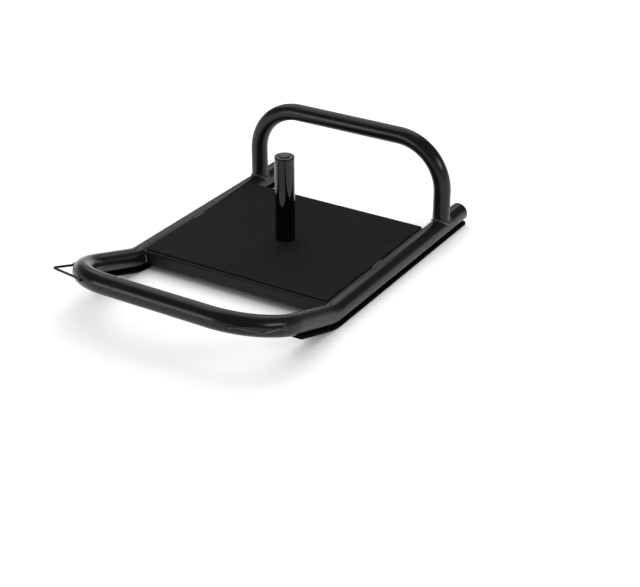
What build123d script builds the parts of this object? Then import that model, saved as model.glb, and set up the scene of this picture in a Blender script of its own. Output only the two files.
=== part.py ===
from build123d import *
import math
import os

# Drag sled: a bent steel tube frame with an upturned front loop, a push handle,
# a flat loading deck with a weight post, two tow rings and two wear skids.
# Millimetres. +X is to the right, +Y to the rear, +Z up.
# The origin is on the floor at the middle of the whole outline.

# Main tube: both rails and the front loop in one length
tube_diameter = 51.0
tube_wall = 2.5
rail_spacing = 566.0
rail_length = 663.5
loop_length = 297.5
loop_slope = 17.5
slope_bend_radius = 140.0
corner_bend_radius = 137.0

# Push handle
handle_diameter = 45.0
handle_wall = 2.0
handle_setback = 101.5
handle_rise = 227.5
handle_bend_radius = 130.0

# Deck plate, folded down at the front and the rear
deck_setback = 8.0
deck_handle_gap = 40.5
deck_thickness = 3.0
deck_lift = 20.0
lip_drop = 32.0
fold_radius = 2.5

# Ribbed mat on the deck
mat_thickness = 3.5
mat_front_margin = 9.5
mat_rear_margin = 5.0
mat_weld_gap = 0.2
mat_corner_radius = 3.0
mat_post_clearance = 1.0

# Cross bar under the deck
crossbar_width = 40.0
crossbar_depth = 20.0
crossbar_wall = 2.0

# Weight post, bolted on from below
post_diameter = 50.0
post_wall = 3.0
post_rise = 227.0
cap_flange = 3.0
cap_edge_round = 1.4
cap_button_diameter = 27.0
cap_button_rise = 2.0
cap_plug_depth = 16.0
cap_plug_wall = 2.5
base_plug_depth = 12.0
base_plug_clearance = 0.1
bolt_diameter = 12.0
bolt_clearance = 0.25
bolt_head_width = 19.0
bolt_head_height = 7.5
bolt_end_gap = 2.0
washer_diameter = 30.0
washer_thickness = 2.5

# Rail end caps
rail_cap_flange = 2.5
rail_cap_edge_round = 1.0
rail_cap_plug_depth = 20.0
rail_cap_plug_wall = 2.5
cap_fit_clearance = 0.15

# Wear skids under the rails
skid_width = 45.0
skid_thickness = 6.0
skid_seat_depth = 1.5
skid_overhang = 6.0
skid_slope_length = 156.0
skid_corner_radius = 7.0

# Countersunk screws that hold the skids
screw_diameter = 6.0
screw_head_diameter = 11.0
screw_head_recess = 0.8
screw_head_depth = 3.0
screw_length = 14.0
screw_clearance = 0.2
screw_count = 4
screw_end_margin = 60.0
screw_slope_distance = 110.0

# Tow rings at the front corners: a V of bent rod with a foot at the end of each leg
ring_rod_diameter = 6.0
ring_reach = 45.5
ring_leg_angle = 44.0
ring_tip_radius = 8.0
ring_flare_radius = 30.0
ring_foot_length = 15.0
ring_seat_gap = 0.3
ring_lift = 1.4
ring_tilt = 4.5
ring_roll = 3.2

# Weld beads
bead_size = 4.0
stitch_length = 45.0
stitch_radius = 3.2
ring_bead_length = 12.0
ring_bead_radius = 5.2

# Places worked out from the sizes above
tube_radius = tube_diameter / 2
handle_radius = handle_diameter / 2
post_radius = post_diameter / 2
rod_radius = ring_rod_diameter / 2
slope = math.radians(loop_slope)
rail_x = rail_spacing / 2
rail_z = skid_thickness + tube_radius
outline_length = rail_length + skid_overhang + loop_length * math.cos(slope) + tube_radius
rear_y = outline_length / 2 - skid_overhang
turn_y = rear_y - rail_length
handle_y = rear_y - handle_setback
handle_z = rail_z + handle_rise
deck_front_y = turn_y + deck_setback
deck_rear_y = handle_y - handle_radius - bead_size - deck_handle_gap
deck_length = deck_rear_y - deck_front_y
deck_y = (deck_front_y + deck_rear_y) / 2
deck_top = rail_z + deck_lift
deck_bottom = deck_top - deck_thickness
crossbar_bottom = deck_bottom - crossbar_depth
post_top = deck_top + post_rise


def on_slope(x, along, lift):
    """A point of the raised loop: along runs forwards from the turn, lift is square to the loop."""
    y = turn_y - along * math.cos(slope) + lift * math.sin(slope)
    z = rail_z + along * math.sin(slope) + lift * math.cos(slope)
    return Vector(x, y, z)


def below_tube(drop):
    """The point where a line that runs below the rail's axis meets the one below the loop's."""
    return (turn_y - drop * math.tan(slope / 2), rail_z - drop)


def ring_section(path, radius):
    """A round section square to the start of a path."""
    start = Plane(origin=path @ 0, z_dir=path % 0)
    return start * Circle(radius)


def bent_tube(path, radius):
    """A solid round bar along a path of straight runs and tangent arcs."""
    return sweep(ring_section(path, radius), path=path)


def mirrored(shape):
    """The same piece on the other side."""
    return mirror(shape, about=Plane.YZ)


def frame_path():
    points = [
        Vector(rail_x, rear_y, rail_z),
        Vector(rail_x, turn_y, rail_z),
        on_slope(rail_x, loop_length, 0),
        on_slope(-rail_x, loop_length, 0),
        Vector(-rail_x, turn_y, rail_z),
        Vector(-rail_x, rear_y, rail_z),
    ]
    radii = [slope_bend_radius, corner_bend_radius, corner_bend_radius, slope_bend_radius]
    return FilletPolyline(*points, radius=radii).wire()


def handle_path():
    points = [
        Vector(rail_x, handle_y, rail_z),
        Vector(rail_x, handle_y, handle_z),
        Vector(-rail_x, handle_y, handle_z),
        Vector(-rail_x, handle_y, rail_z),
    ]
    return FilletPolyline(*points, radius=handle_bend_radius).wire()


frame_outer = bent_tube(frame_path(), tube_radius)
handle_outer = bent_tube(handle_path(), handle_radius)


# Screw places along one skid, as a plane whose Z points up into the tube
def screw_planes():
    flat_start = rear_y - screw_end_margin
    flat_end = deck_front_y + screw_end_margin
    planes = []
    for index in range(screw_count):
        y = flat_start + (flat_end - flat_start) * index / (screw_count - 1)
        planes.append(Plane(origin=(rail_x, y, 0), x_dir=(1, 0, 0), z_dir=(0, 0, 1)))
    foot = on_slope(rail_x, screw_slope_distance, -rail_z)
    up = on_slope(0, 0, 1) - on_slope(0, 0, 0)
    planes.append(Plane(origin=foot, x_dir=(1, 0, 0), z_dir=up))
    return planes


def countersunk(radius, head_radius, start, end):
    """A countersunk screw shape that stands on its axis, head down at the height start."""
    outline = [
        (0, start),
        (head_radius, start),
        (head_radius, start + screw_head_recess / 2),
        (radius, start + screw_head_depth),
        (radius, end),
        (0, end),
    ]
    face = make_face(Plane.XZ * Polyline(*outline, close=True))
    return revolve(face, axis=Axis.Z)


def screws(clearance, start):
    radius = screw_diameter / 2 + clearance
    head_radius = screw_head_diameter / 2 + clearance
    shape = countersunk(radius, head_radius, start, screw_head_recess + screw_length)
    return [plane * shape for plane in screw_planes()]


screw_holes = screws(screw_clearance, screw_head_recess - screw_clearance)
screw_mouths = [
    plane * Pos(0, 0, screw_head_recess / 2)
    * Cylinder(screw_head_diameter / 2 + screw_clearance, screw_head_recess)
    for plane in screw_planes()
]


def make_frame_tube():
    tube = frame_outer - bent_tube(frame_path(), tube_radius - tube_wall)
    for hole in screw_holes:
        tube = tube - hole - mirrored(hole)
    return tube


def make_handle_tube():
    bore = bent_tube(handle_path(), handle_radius - handle_wall)
    return handle_outer - bore - frame_outer


def make_handle_weld():
    """The bead that follows the saddle where one handle leg meets its rail."""
    around_rail = Pos(rail_x, handle_y, rail_z) * Rot(90, 0, 0) * Cylinder(
        tube_radius + bead_size, handle_diameter * 2
    )
    leg_height = tube_diameter
    saddle_low = math.sqrt(max(tube_radius**2 - handle_radius**2, 0))
    leg_foot = rail_z + saddle_low - bead_size
    around_leg = Pos(rail_x, handle_y, leg_foot + leg_height / 2) * Cylinder(
        handle_radius + bead_size, leg_height
    )
    bead = around_rail & around_leg
    leg_core = Pos(rail_x, handle_y, handle_z / 2) * Cylinder(handle_radius, handle_z)
    return bead - leg_core - frame_outer


# Deck
def make_deck_plate():
    """A tray with folded ends, cut along its sides to the round of the rails."""
    outer = Pos(0, deck_y, deck_top - lip_drop / 2) * Box(rail_spacing, deck_length, lip_drop)
    outer_folds = outer.edges().filter_by(Axis.X).group_by(Axis.Z)[-1]
    outer = fillet(outer_folds, fold_radius + deck_thickness)
    inner_drop = lip_drop - deck_thickness
    inner_length = deck_length - 2 * deck_thickness
    inner = Pos(0, deck_y, deck_bottom - inner_drop / 2) * Box(rail_spacing, inner_length, inner_drop)
    inner_folds = inner.edges().filter_by(Axis.X).group_by(Axis.Z)[-1]
    inner = fillet(inner_folds, fold_radius)
    plate = outer - inner - frame_outer
    bolt_hole = Pos(0, deck_y, deck_top) * Cylinder(bolt_diameter / 2 + bolt_clearance, lip_drop)
    tray = plate.solids().sort_by(SortBy.VOLUME)[-1]
    return tray - bolt_hole


# Half the width of the deck plate at its top face, where it meets the round of the rail
deck_half_width = rail_x - math.sqrt(tube_radius**2 - deck_lift**2)


def make_deck_mat():
    width = 2 * (deck_half_width - stitch_radius - mat_weld_gap)
    length = deck_length - mat_front_margin - mat_rear_margin
    middle_y = deck_y + (mat_front_margin - mat_rear_margin) / 2
    outline = Pos(0, middle_y) * RectangleRounded(width, length, mat_corner_radius)
    hole = Pos(0, deck_y) * Circle(post_radius + mat_post_clearance)
    return Pos(0, 0, deck_top) * extrude(outline - hole, mat_thickness)


def make_deck_crossbar():
    middle_z = deck_bottom - crossbar_depth / 2
    outer = Pos(0, deck_y, middle_z) * Box(rail_spacing, crossbar_width, crossbar_depth)
    inner = Pos(0, deck_y, middle_z) * Box(
        rail_spacing, crossbar_width - 2 * crossbar_wall, crossbar_depth - 2 * crossbar_wall
    )
    bolt_hole = Pos(0, deck_y, middle_z) * Cylinder(
        bolt_diameter / 2 + bolt_clearance, crossbar_depth * 2
    )
    bar = outer - inner - frame_outer
    bar = bar.solids().sort_by(SortBy.VOLUME)[-1]
    return bar - bolt_hole


def rod_along_y(x, y, z, length, radius):
    return Pos(x, y, z) * Rot(90, 0, 0) * Cylinder(radius, length)


def make_lip_bead(lip_y, outward):
    """The bead at one end of a folded lip, on the lip's outer side: outward is -1 or 1 along Y."""
    round_rail = Plane(origin=(rail_x, lip_y, rail_z), x_dir=(1, 0, 0), z_dir=(0, 1, 0))
    bead = round_rail * Torus(tube_radius, stitch_radius)
    height = lip_drop - fold_radius - deck_thickness
    beside_lip = Pos(
        rail_x - tube_radius, lip_y + outward * stitch_radius / 2, deck_top - lip_drop + height / 2
    ) * Box(tube_radius, stitch_radius, height)
    return (bead & beside_lip) - frame_outer


def make_deck_welds(deck_plate):
    """The stitch at the middle of one side of the plate, and the beads at the ends of its lips."""
    stitch = rod_along_y(deck_half_width, deck_y, deck_top, stitch_length, stitch_radius)
    above_plate = Pos(deck_half_width, deck_y, deck_top + stitch_radius / 2) * Box(
        stitch_radius * 2, stitch_length, stitch_radius
    )
    stitch = (stitch & above_plate) - frame_outer - deck_plate
    return [stitch, make_lip_bead(deck_front_y, -1), make_lip_bead(deck_rear_y, 1)]


def make_crossbar_welds():
    """One bead at each end of the cross bar, along its lower edge."""
    depth_below_axis = rail_z - crossbar_bottom
    x = rail_x - math.sqrt(tube_radius**2 - depth_below_axis**2)
    bead = rod_along_y(x, deck_y, crossbar_bottom, crossbar_width, stitch_radius)
    below_bar = Pos(x, deck_y, crossbar_bottom - stitch_radius / 2) * Box(
        stitch_radius * 2, crossbar_width, stitch_radius
    )
    bead = (bead & below_bar) - frame_outer
    return [bead, mirrored(bead)]


# Weight post
def make_post_tube():
    height = post_rise - cap_flange
    ring = Circle(post_radius) - Circle(post_radius - post_wall)
    return Pos(0, deck_y, deck_top) * extrude(ring, height)


def make_post_base_plug():
    """The threaded disc inside the foot of the post."""
    radius = post_radius - post_wall - base_plug_clearance
    disc = Circle(radius) - Circle(bolt_diameter / 2 + bolt_clearance)
    return Pos(0, deck_y, deck_top) * extrude(disc, base_plug_depth)


def make_post_washer():
    disc = Circle(washer_diameter / 2) - Circle(bolt_diameter / 2 + bolt_clearance)
    return Pos(0, deck_y, crossbar_bottom - washer_thickness) * extrude(disc, washer_thickness)


def make_post_bolt():
    """A hexagon bolt, head down, that reaches up through the cross bar and the plate."""
    head_top = crossbar_bottom - washer_thickness
    head = RegularPolygon(bolt_head_width / 2, 6, major_radius=False)
    head = extrude(head, bolt_head_height)
    head_edge = head.edges().filter_by(GeomType.LINE).group_by(Axis.Z)[0]
    head = chamfer(head_edge, 0.8)
    shank_length = deck_top + base_plug_depth - bolt_end_gap - head_top
    shank = extrude(Circle(bolt_diameter / 2), shank_length)
    bolt = head + Pos(0, 0, bolt_head_height) * shank
    return Pos(0, deck_y, head_top - bolt_head_height) * bolt


def cap_solid(radius, flange, edge_round, plug_radius, plug_depth, plug_wall):
    """A push-in cap that stands on its flange's underside: flange up, hollow plug down."""
    top = extrude(Circle(radius), flange)
    rim = top.edges().group_by(Axis.Z)[-1]
    top = fillet(rim, edge_round)
    plug = extrude(Circle(plug_radius) - Circle(plug_radius - plug_wall), -plug_depth)
    return top + plug


def make_post_cap():
    plug_radius = post_radius - post_wall - cap_fit_clearance
    cap = cap_solid(
        post_radius, cap_flange, cap_edge_round, plug_radius, cap_plug_depth, cap_plug_wall
    )
    button = extrude(Circle(cap_button_diameter / 2), cap_button_rise)
    button = fillet(button.edges().group_by(Axis.Z)[-1], cap_button_rise / 2)
    cap = cap + Pos(0, 0, cap_flange) * button
    return Pos(0, deck_y, post_top - cap_flange) * cap


# Rail end caps
def make_rail_cap():
    plug_radius = tube_radius - tube_wall - cap_fit_clearance
    cap = cap_solid(
        tube_radius,
        rail_cap_flange,
        rail_cap_edge_round,
        plug_radius,
        rail_cap_plug_depth,
        rail_cap_plug_wall,
    )
    seat = Plane(origin=(rail_x, rear_y, rail_z), x_dir=(1, 0, 0), z_dir=(0, 1, 0))
    return seat * cap


# Skids
def skid_edge(drop):
    """A line that keeps one distance below the tube's axis, round the turn, in Y and Z."""
    end = on_slope(0, skid_slope_length, -drop)
    points = [(rear_y + skid_overhang, rail_z - drop), below_tube(drop), (end.Y, end.Z)]
    return FilletPolyline(*points, radius=slope_bend_radius + drop)


def make_skid():
    """A flat wear strip with a shallow round seat for the tube along its top."""
    upper = skid_edge(tube_radius - skid_seat_depth)
    lower = skid_edge(tube_radius + skid_thickness)
    front = Line(upper @ 1, lower @ 1)
    rear = Line(upper @ 0, lower @ 0)
    side = make_face(Plane.YZ * Curve([upper, lower, front, rear]))
    strip = extrude(side, skid_width / 2, both=True)
    ends = strip.edges().filter_by(
        lambda edge: abs(edge.length - skid_thickness - skid_seat_depth) < 0.01
    )
    strip = Pos(rail_x, 0, 0) * fillet(ends, skid_corner_radius)
    past_tube = rod_along_y(rail_x, rear_y + skid_overhang / 2, rail_z, skid_overhang, tube_radius)
    strip = strip - frame_outer - past_tube
    for hole in screw_holes + screw_mouths:
        strip = strip - hole
    return strip


def make_skid_screws():
    return screws(0, screw_head_recess)


# Tow rings
ring_foot_radius = corner_bend_radius + tube_radius + ring_seat_gap + rod_radius
ring_tip_x = corner_bend_radius + tube_radius + ring_reach - rod_radius - ring_tip_radius
ring_flare_distance = ring_foot_radius + ring_flare_radius


def ring_flare_turn():
    """How far the rod turns between a foot and its leg, in degrees."""
    leg_angle = math.radians(ring_leg_angle)
    sharp_tip_x = ring_tip_x + ring_tip_radius / math.sin(leg_angle)
    leg_offset = sharp_tip_x * math.sin(leg_angle) + ring_flare_radius
    return math.degrees(math.acos(leg_offset / ring_flare_distance))


# Where a foot starts, and how far it goes, round the corner bend, in degrees from the middle
ring_foot_start = 90 - ring_leg_angle - ring_flare_turn()
ring_foot_turn = math.degrees(ring_foot_length / ring_foot_radius)


def ring_plane():
    """The ring's plane, centred on the right corner bend: X points diagonally out, Z up."""
    centre_x = rail_x - corner_bend_radius
    centre_along = loop_length - corner_bend_radius
    centre = on_slope(centre_x, centre_along, 0)
    outward = on_slope(centre_x + 1, centre_along + 1, 0) - centre
    square = on_slope(centre_x, centre_along, 1) - centre
    loop = Plane(origin=centre, x_dir=outward, z_dir=square)
    lean = Pos(ring_foot_radius, 0, ring_lift) * Rot(0, -ring_tilt, 0) * Rot(ring_roll, 0, 0)
    return Plane(loop.location * lean * Pos(-ring_foot_radius, 0, 0))


def ring_half():
    """The lines of one foot, its flare, its leg and half the tip."""
    flare_centre = Vector(ring_flare_distance, 0).rotate(Axis.Z, ring_foot_start)
    foot = CenterArc((0, 0), ring_foot_radius, ring_foot_start, ring_foot_turn)
    flare = CenterArc(flare_centre, ring_flare_radius, ring_foot_start + 180, ring_flare_turn())
    tip = CenterArc((ring_tip_x, 0), ring_tip_radius, 0, 90 - ring_leg_angle)
    leg = Line(flare @ 1, tip @ 1)
    return [foot, flare, leg, tip]


def make_tow_ring():
    """A V of bent rod whose feet lie along the outside of the corner bend."""
    half = ring_half()
    other_half = [mirror(line, about=Plane.XZ) for line in half]
    path = ring_plane() * Wire(Curve(half + other_half).edges())
    return bent_tube(path, rod_radius)


def make_tow_ring_welds(ring):
    """The bead between each foot and the tube."""
    bead_turn = math.degrees(ring_bead_length / ring_foot_radius)
    section = Plane.XZ * Pos(ring_foot_radius - rod_radius, 0) * Circle(ring_bead_radius)
    bead = revolve(section, axis=Axis.Z, revolution_arc=bead_turn)
    foot_middle = ring_foot_start + ring_foot_turn / 2
    beads = []
    for middle in (foot_middle, -foot_middle):
        beads.append(ring_plane() * Rot(0, 0, middle - bead_turn / 2) * bead - frame_outer - ring)
    return beads


def save(node, pieces):
    """Write one node, which may be a group of separate solids."""
    group = pieces if isinstance(pieces, list) else [pieces]
    solids = [solid for piece in group for solid in piece.solids()]
    shape = solids[0] if len(solids) == 1 else Compound(children=solids)
    export_step(shape, "parts/" + node + ".step")


def save_pair(name, pieces):
    """Write a piece for the right side and its mirror image for the left."""
    group = pieces if isinstance(pieces, list) else [pieces]
    save(name + "_right", group)
    save(name + "_left", [mirrored(piece) for piece in group])


os.makedirs("parts", exist_ok=True)

deck_plate = make_deck_plate()
tow_ring = make_tow_ring()

save("frame_tube", make_frame_tube())
save("handle_tube", make_handle_tube())
save_pair("handle_weld", make_handle_weld())
save("deck_plate", deck_plate)
save("deck_mat", make_deck_mat())
save("deck_crossbar", make_deck_crossbar())
save_pair("deck_welds", make_deck_welds(deck_plate))
save("crossbar_welds", make_crossbar_welds())
save("post_tube", make_post_tube())
save("post_base_plug", make_post_base_plug())
save("post_washer", make_post_washer())
save("post_bolt", make_post_bolt())
save("post_cap", make_post_cap())
save_pair("rail_cap", make_rail_cap())
save_pair("skid", make_skid())
save_pair("skid_screws", make_skid_screws())
save_pair("tow_ring", tow_ring)
save_pair("tow_ring_weld", make_tow_ring_welds(tow_ring))
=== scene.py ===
"""Drag sled: models the visible pieces round the fixed frame and gives every surface its finish."""

import math
from types import SimpleNamespace

import bmesh
import bpy
from bpy.props import FloatProperty, FloatVectorProperty, IntProperty, PointerProperty
from mathutils import Matrix, Vector


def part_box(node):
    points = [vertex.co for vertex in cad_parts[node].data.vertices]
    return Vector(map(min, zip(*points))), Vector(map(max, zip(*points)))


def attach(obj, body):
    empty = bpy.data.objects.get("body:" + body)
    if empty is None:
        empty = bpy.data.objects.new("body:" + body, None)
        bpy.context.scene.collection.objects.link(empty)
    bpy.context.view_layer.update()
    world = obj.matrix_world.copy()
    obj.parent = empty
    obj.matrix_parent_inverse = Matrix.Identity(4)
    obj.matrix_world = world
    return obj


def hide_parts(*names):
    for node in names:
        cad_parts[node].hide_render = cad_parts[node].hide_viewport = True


bl_info = {
    "name": "Drag sled",
    "version": (1, 0, 0),
    "blender": (4, 5, 0),
    "location": "3D View > Sidebar > Drag sled",
    "description": "Models a weighted drag sled with a push handle, tow rings and wear skids",
    "category": "Add Mesh",
}

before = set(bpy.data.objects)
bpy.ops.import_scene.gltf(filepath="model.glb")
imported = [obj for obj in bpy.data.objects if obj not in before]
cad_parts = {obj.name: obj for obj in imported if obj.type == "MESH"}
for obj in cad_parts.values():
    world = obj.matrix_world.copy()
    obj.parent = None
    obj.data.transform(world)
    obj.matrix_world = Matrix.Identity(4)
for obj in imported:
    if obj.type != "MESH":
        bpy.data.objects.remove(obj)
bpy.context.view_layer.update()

MM = 0.001
ORIGIN = Vector((0, 0, 0))
X_AXIS = Vector((1, 0, 0))
Y_AXIS = Vector((0, 1, 0))
Z_AXIS = Vector((0, 0, 1))
SIDES = {"right": 1, "left": -1}

main_low, main_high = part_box("frame_tube")
rail_cap_low, rail_cap_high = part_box("rail_cap_right")
handle_low, handle_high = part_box("handle_tube")
plate_low, plate_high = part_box("deck_plate")
mat_low, mat_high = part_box("deck_mat")
bar_low, bar_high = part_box("deck_crossbar")
post_low, post_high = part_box("post_tube")
post_cap_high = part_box("post_cap")[1]
skid_low, skid_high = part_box("skid_right")

# Play between a plug and its tube, and between the bolt and its holes
PLUG_PLAY = 0.15 * MM
BOLT_PLAY = 0.25 * MM
# Shares of a weld bead's radius: how deep its ripples are, what is left at an open end, and how much
# of the section each ripple adds from there
BEAD_DIP = 0.12
BEAD_END = 0.12
BEAD_GROWTH = 0.75
# Degrees between faces above which a crease is sharp on a bead, so that its ripples stay soft
SOFT_CREASE = 80
# Where the camera looks, in metres
LOOK_AT = Vector((0.28930, -0.23324, 0.11374))
# Colour that the floor shows to the camera: over 1, so that it reaches white under the soft lamps
FLOOR_SEEN = 1.08


def length(name, description, default):
    return FloatProperty(
        name=name, description=description, default=default, unit="LENGTH", subtype="DISTANCE", precision=4
    )


def angle(name, description, degrees):
    return FloatProperty(name=name, description=description, default=math.radians(degrees), subtype="ANGLE")


def power(name, description, watts):
    return FloatProperty(name=name, description=description, default=watts, unit="POWER")


def linear(hex_colour):
    """The linear values of an sRGB colour written as RRGGBB."""
    channels = [int(hex_colour[start:start + 2], 16) / 255 for start in (0, 2, 4)]
    return [value / 12.92 if value <= 0.04045 else ((value + 0.055) / 1.055) ** 2.4 for value in channels]


def colour(name, description, hex_colour):
    return FloatVectorProperty(
        name=name, description=description, default=linear(hex_colour), subtype="COLOR", min=0, max=1
    )


class TubeSizes(bpy.types.PropertyGroup):
    """The bent main tube and the push handle."""

    diameter: length("Main tube", "Outside diameter of the main tube", rail_cap_high.x - rail_cap_low.x)
    wall: length("Main tube wall", "Wall of the main tube", 2.5 * MM)
    turn_ahead: length("Turn ahead of deck", "From the deck's front edge to the upward turn", 8 * MM)
    slope_bend: length("Slope bend", "Bend radius where the tube turns up", 140 * MM)
    corner_bend: length("Corner bend", "Bend radius at the front corners", 137 * MM)
    handle_diameter: length("Handle tube", "Outside diameter of the handle", handle_high.y - handle_low.y)
    handle_wall: length("Handle wall", "Wall of the handle tube", 2 * MM)
    handle_bend: length("Handle bend", "Bend radius at the handle's corners", 130 * MM)
    leg_bead: length("Leg bead", "Radius of the weld bead round a handle leg", 4 * MM)
    sides: IntProperty(name="Tube sides", description="Faces round a tube", default=96, min=24)


class DeckSizes(bpy.types.PropertyGroup):
    """The folded plate, its mat, the bar below it and the welds that hold them."""

    thickness: length("Plate thickness", "Sheet that the deck is folded from", 3 * MM)
    fold: length("Fold radius", "Outside radius of the folded edges", 5.5 * MM)
    mat_corner: length("Mat corner", "Corner radius of the mat", 3 * MM)
    rib_pitch: length("Rib pitch", "From one rib of the mat to the next", 8 * MM)
    rib_depth: length("Rib depth", "Depth of the grooves in the mat", 0.25 * MM)
    hole_gap: length("Mat hole gap", "Gap between the mat and the post", 1 * MM)
    bar_wall: length("Bar wall", "Wall of the cross bar", 2 * MM)
    bead: length("Weld bead", "Radius of a weld bead on the deck", 3.2 * MM)
    stitch: length("Stitch", "Length of the stitch weld on each side", 45 * MM)


class PostSizes(bpy.types.PropertyGroup):
    """The weight post and what holds and closes it."""

    wall: length("Post wall", "Wall of the post", 3 * MM)
    button: length("Cap button", "Diameter of the raised middle of the cap", 27 * MM)
    button_rise: length("Button rise", "Height of the raised middle", 2 * MM)
    bolt: length("Bolt", "Diameter of the bolt", 12 * MM)
    bolt_head: length("Bolt head", "Width across the flats of the bolt head", 19 * MM)


class FittingSizes(bpy.types.PropertyGroup):
    """Tow rings, wear skids and their screws."""

    ring_rod: length("Ring rod", "Diameter of the rod that a tow ring is bent from", 6 * MM)
    ring_reach: length("Ring reach", "From the tube's skin to the far side of a ring", 45.5 * MM)
    ring_leg_angle: angle("Ring leg angle", "Between a leg and the middle line of a ring", 44)
    ring_tip: length("Ring tip", "Bend radius at the tip of a ring", 8 * MM)
    ring_flare: length("Ring flare", "Bend radius between a leg and its foot", 30 * MM)
    ring_foot: length("Ring foot", "Length of a foot along the tube", 15 * MM)
    ring_gap: length("Ring gap", "Gap under a foot, filled by the bead", 0.3 * MM)
    ring_lift: length("Ring lift", "Height of a ring above the middle of the tube", 1.4 * MM)
    ring_tilt: angle("Ring tilt", "Rise of a ring towards its tip, against the loop", 4.5)
    ring_roll: angle("Ring roll", "Rise of a ring towards the rear, against the loop", 3.2)
    ring_bead: length("Ring bead", "Length of the bead that holds a foot", 12 * MM)
    ring_bead_radius: length("Ring bead radius", "Radius of the bead that holds a foot", 2.6 * MM)
    skid_thickness: length("Skid thickness", "Thickness of a wear skid", 6 * MM)
    skid_seat: length("Skid seat", "Depth that the tube is let into a skid", 1.5 * MM)
    skid_slope: length("Skid slope", "Length of a skid past the turn", 156 * MM)
    skid_corner: length("Skid corner", "Corner radius at a skid's ends", 7 * MM)
    skid_rim: length("Skid rim", "Rounding of a skid's edges", 0.8 * MM)
    screw: length("Screw", "Diameter of a skid screw", 6 * MM)
    screw_head: length("Screw head", "Diameter of a skid screw's head", 11 * MM)
    screw_recess: length("Screw recess", "Depth of a screw's head below the skid's face", 0.8 * MM)
    screw_length: length("Screw length", "Length of a skid screw", 14 * MM)
    screw_margin: length("Screw margin", "From the ends of the flat rail to the outer screws", 60 * MM)
    screw_on_slope: length("Screw on slope", "From the turn to the screw on the slope", 110 * MM)
    socket: length("Socket", "Width across the flats of a screw's socket", 4 * MM)
    socket_depth: length("Socket depth", "Depth of a screw's socket", 1.8 * MM)


class Finishes(bpy.types.PropertyGroup):
    """Colours of the paints, rubbers, plastics and metals."""

    frame_paint: colour("Frame paint", "Powder coat on the tubes", "0C0E0F")
    frame_paint_worn: colour("Frame paint, thin", "Where the powder coat lies thinner", "141617")
    deck_paint: colour("Deck paint", "Powder coat on the deck plate", "101213")
    post_enamel: colour("Post enamel", "Gloss enamel on the post", "050506")
    mat_rubber: colour("Mat rubber", "Rubber of the deck mat", "101314")
    cap_plastic: colour("Cap plastic", "Moulded plastic of the caps", "0B0C0D")
    skid_plastic: colour("Skid plastic", "Slick plastic of the skids", "050506")
    zinc: colour("Zinc", "Zinc plating on the bolt, washer and screws", "B9BCBD")
    floor: colour("Floor", "Pale studio floor", "E4E4E2")


class StageSettings(bpy.types.PropertyGroup):
    """The camera, the floor and the lamps."""

    azimuth: angle("Azimuth", "Camera's turn round the sled", 31.48)
    elevation: angle("Elevation", "Camera's height angle", 28.14)
    distance: length("Distance", "From the camera to the point it looks at", 3.347)
    lens: FloatProperty(name="Lens", description="Focal length in millimetres", default=82.81)
    floor_radius: length("Floor radius", "Radius of the round floor", 40.0)
    key_power: power("Key power", "Power of the large overhead softbox", 34)
    front_power: power("Front power", "Power of the low softbox at the front left", 34)
    side_power: power("Side power", "Power of the narrow softbox on the right", 26)


def plan(scene):
    """Places that several pieces share, worked out from the frame and the sizes."""
    tubes = scene.sled_tubes
    radius = tubes.diameter / 2
    rail_x = (rail_cap_low.x + rail_cap_high.x) / 2
    rail_z = (rail_cap_low.z + rail_cap_high.z) / 2
    turn = Vector((rail_x, plate_low.y - tubes.turn_ahead, rail_z))
    front = Vector((rail_x, main_low.y + radius, main_high.z - radius))
    handle_radius = tubes.handle_diameter / 2
    handle_foot = Vector((rail_x, (handle_low.y + handle_high.y) / 2, rail_z))
    handle_top = Vector((rail_x, handle_foot.y, handle_high.z - handle_radius))
    return SimpleNamespace(
        radius=radius,
        rear=Vector((rail_x, main_high.y, rail_z)),
        turn=turn,
        front=front,
        forward=(front - turn).normalized(),
        slope=math.atan2(front.z - turn.z, turn.y - front.y),
        handle_radius=handle_radius,
        handle_foot=handle_foot,
        handle_top=handle_top,
        post=Vector((0, (post_low.y + post_high.y) / 2, post_low.z)),
        post_radius=(post_high.x - post_low.x) / 2,
    )


def round_z(radius, turn):
    """A point at a radius and an angle round the Z axis."""
    return Vector((radius * math.cos(turn), radius * math.sin(turn), 0))


def other_side(point):
    return Vector((-point.x, point.y, point.z))


def rail_half_gap(places, height):
    """Half the gap between the rails at a height: the side of whatever is cut to fit between them."""
    above_axis = height - places.rear.z
    return places.rear.x - math.sqrt(max(places.radius ** 2 - above_axis ** 2, 0))


# Mesh helpers

def only(geometry, kind):
    return [item for item in geometry if isinstance(item, kind)]


def move(mesh, offset):
    bmesh.ops.translate(mesh, verts=mesh.verts[:], vec=offset)


def round_off(mesh, parts, radius, affect, segments):
    """Rounds some corner points or edges."""
    bmesh.ops.bevel(
        mesh, geom=parts, offset=radius, offset_type="OFFSET",
        affect=affect, segments=segments, profile=0.5, material=-1,
    )


def draw_ring(mesh, centre, direction, radius, sides):
    """A circle of edges, square to a direction."""
    turn = Z_AXIS.rotation_difference(direction).to_matrix().to_4x4()
    place = Matrix.Translation(centre) @ turn
    made = bmesh.ops.create_circle(mesh, cap_ends=False, segments=sides, radius=radius, matrix=place)
    return list({edge for vert in made["verts"] for edge in vert.link_edges})


def pull(mesh, edges, offset):
    """Extrudes edges along a straight line and gives the edges at the far end."""
    made = bmesh.ops.extrude_edge_only(mesh, edges=edges)["geom"]
    verts = only(made, bmesh.types.BMVert)
    bmesh.ops.translate(mesh, verts=verts, vec=offset)
    far_end = set(verts)
    return [edge for edge in only(made, bmesh.types.BMEdge) if far_end.issuperset(edge.verts)]


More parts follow.
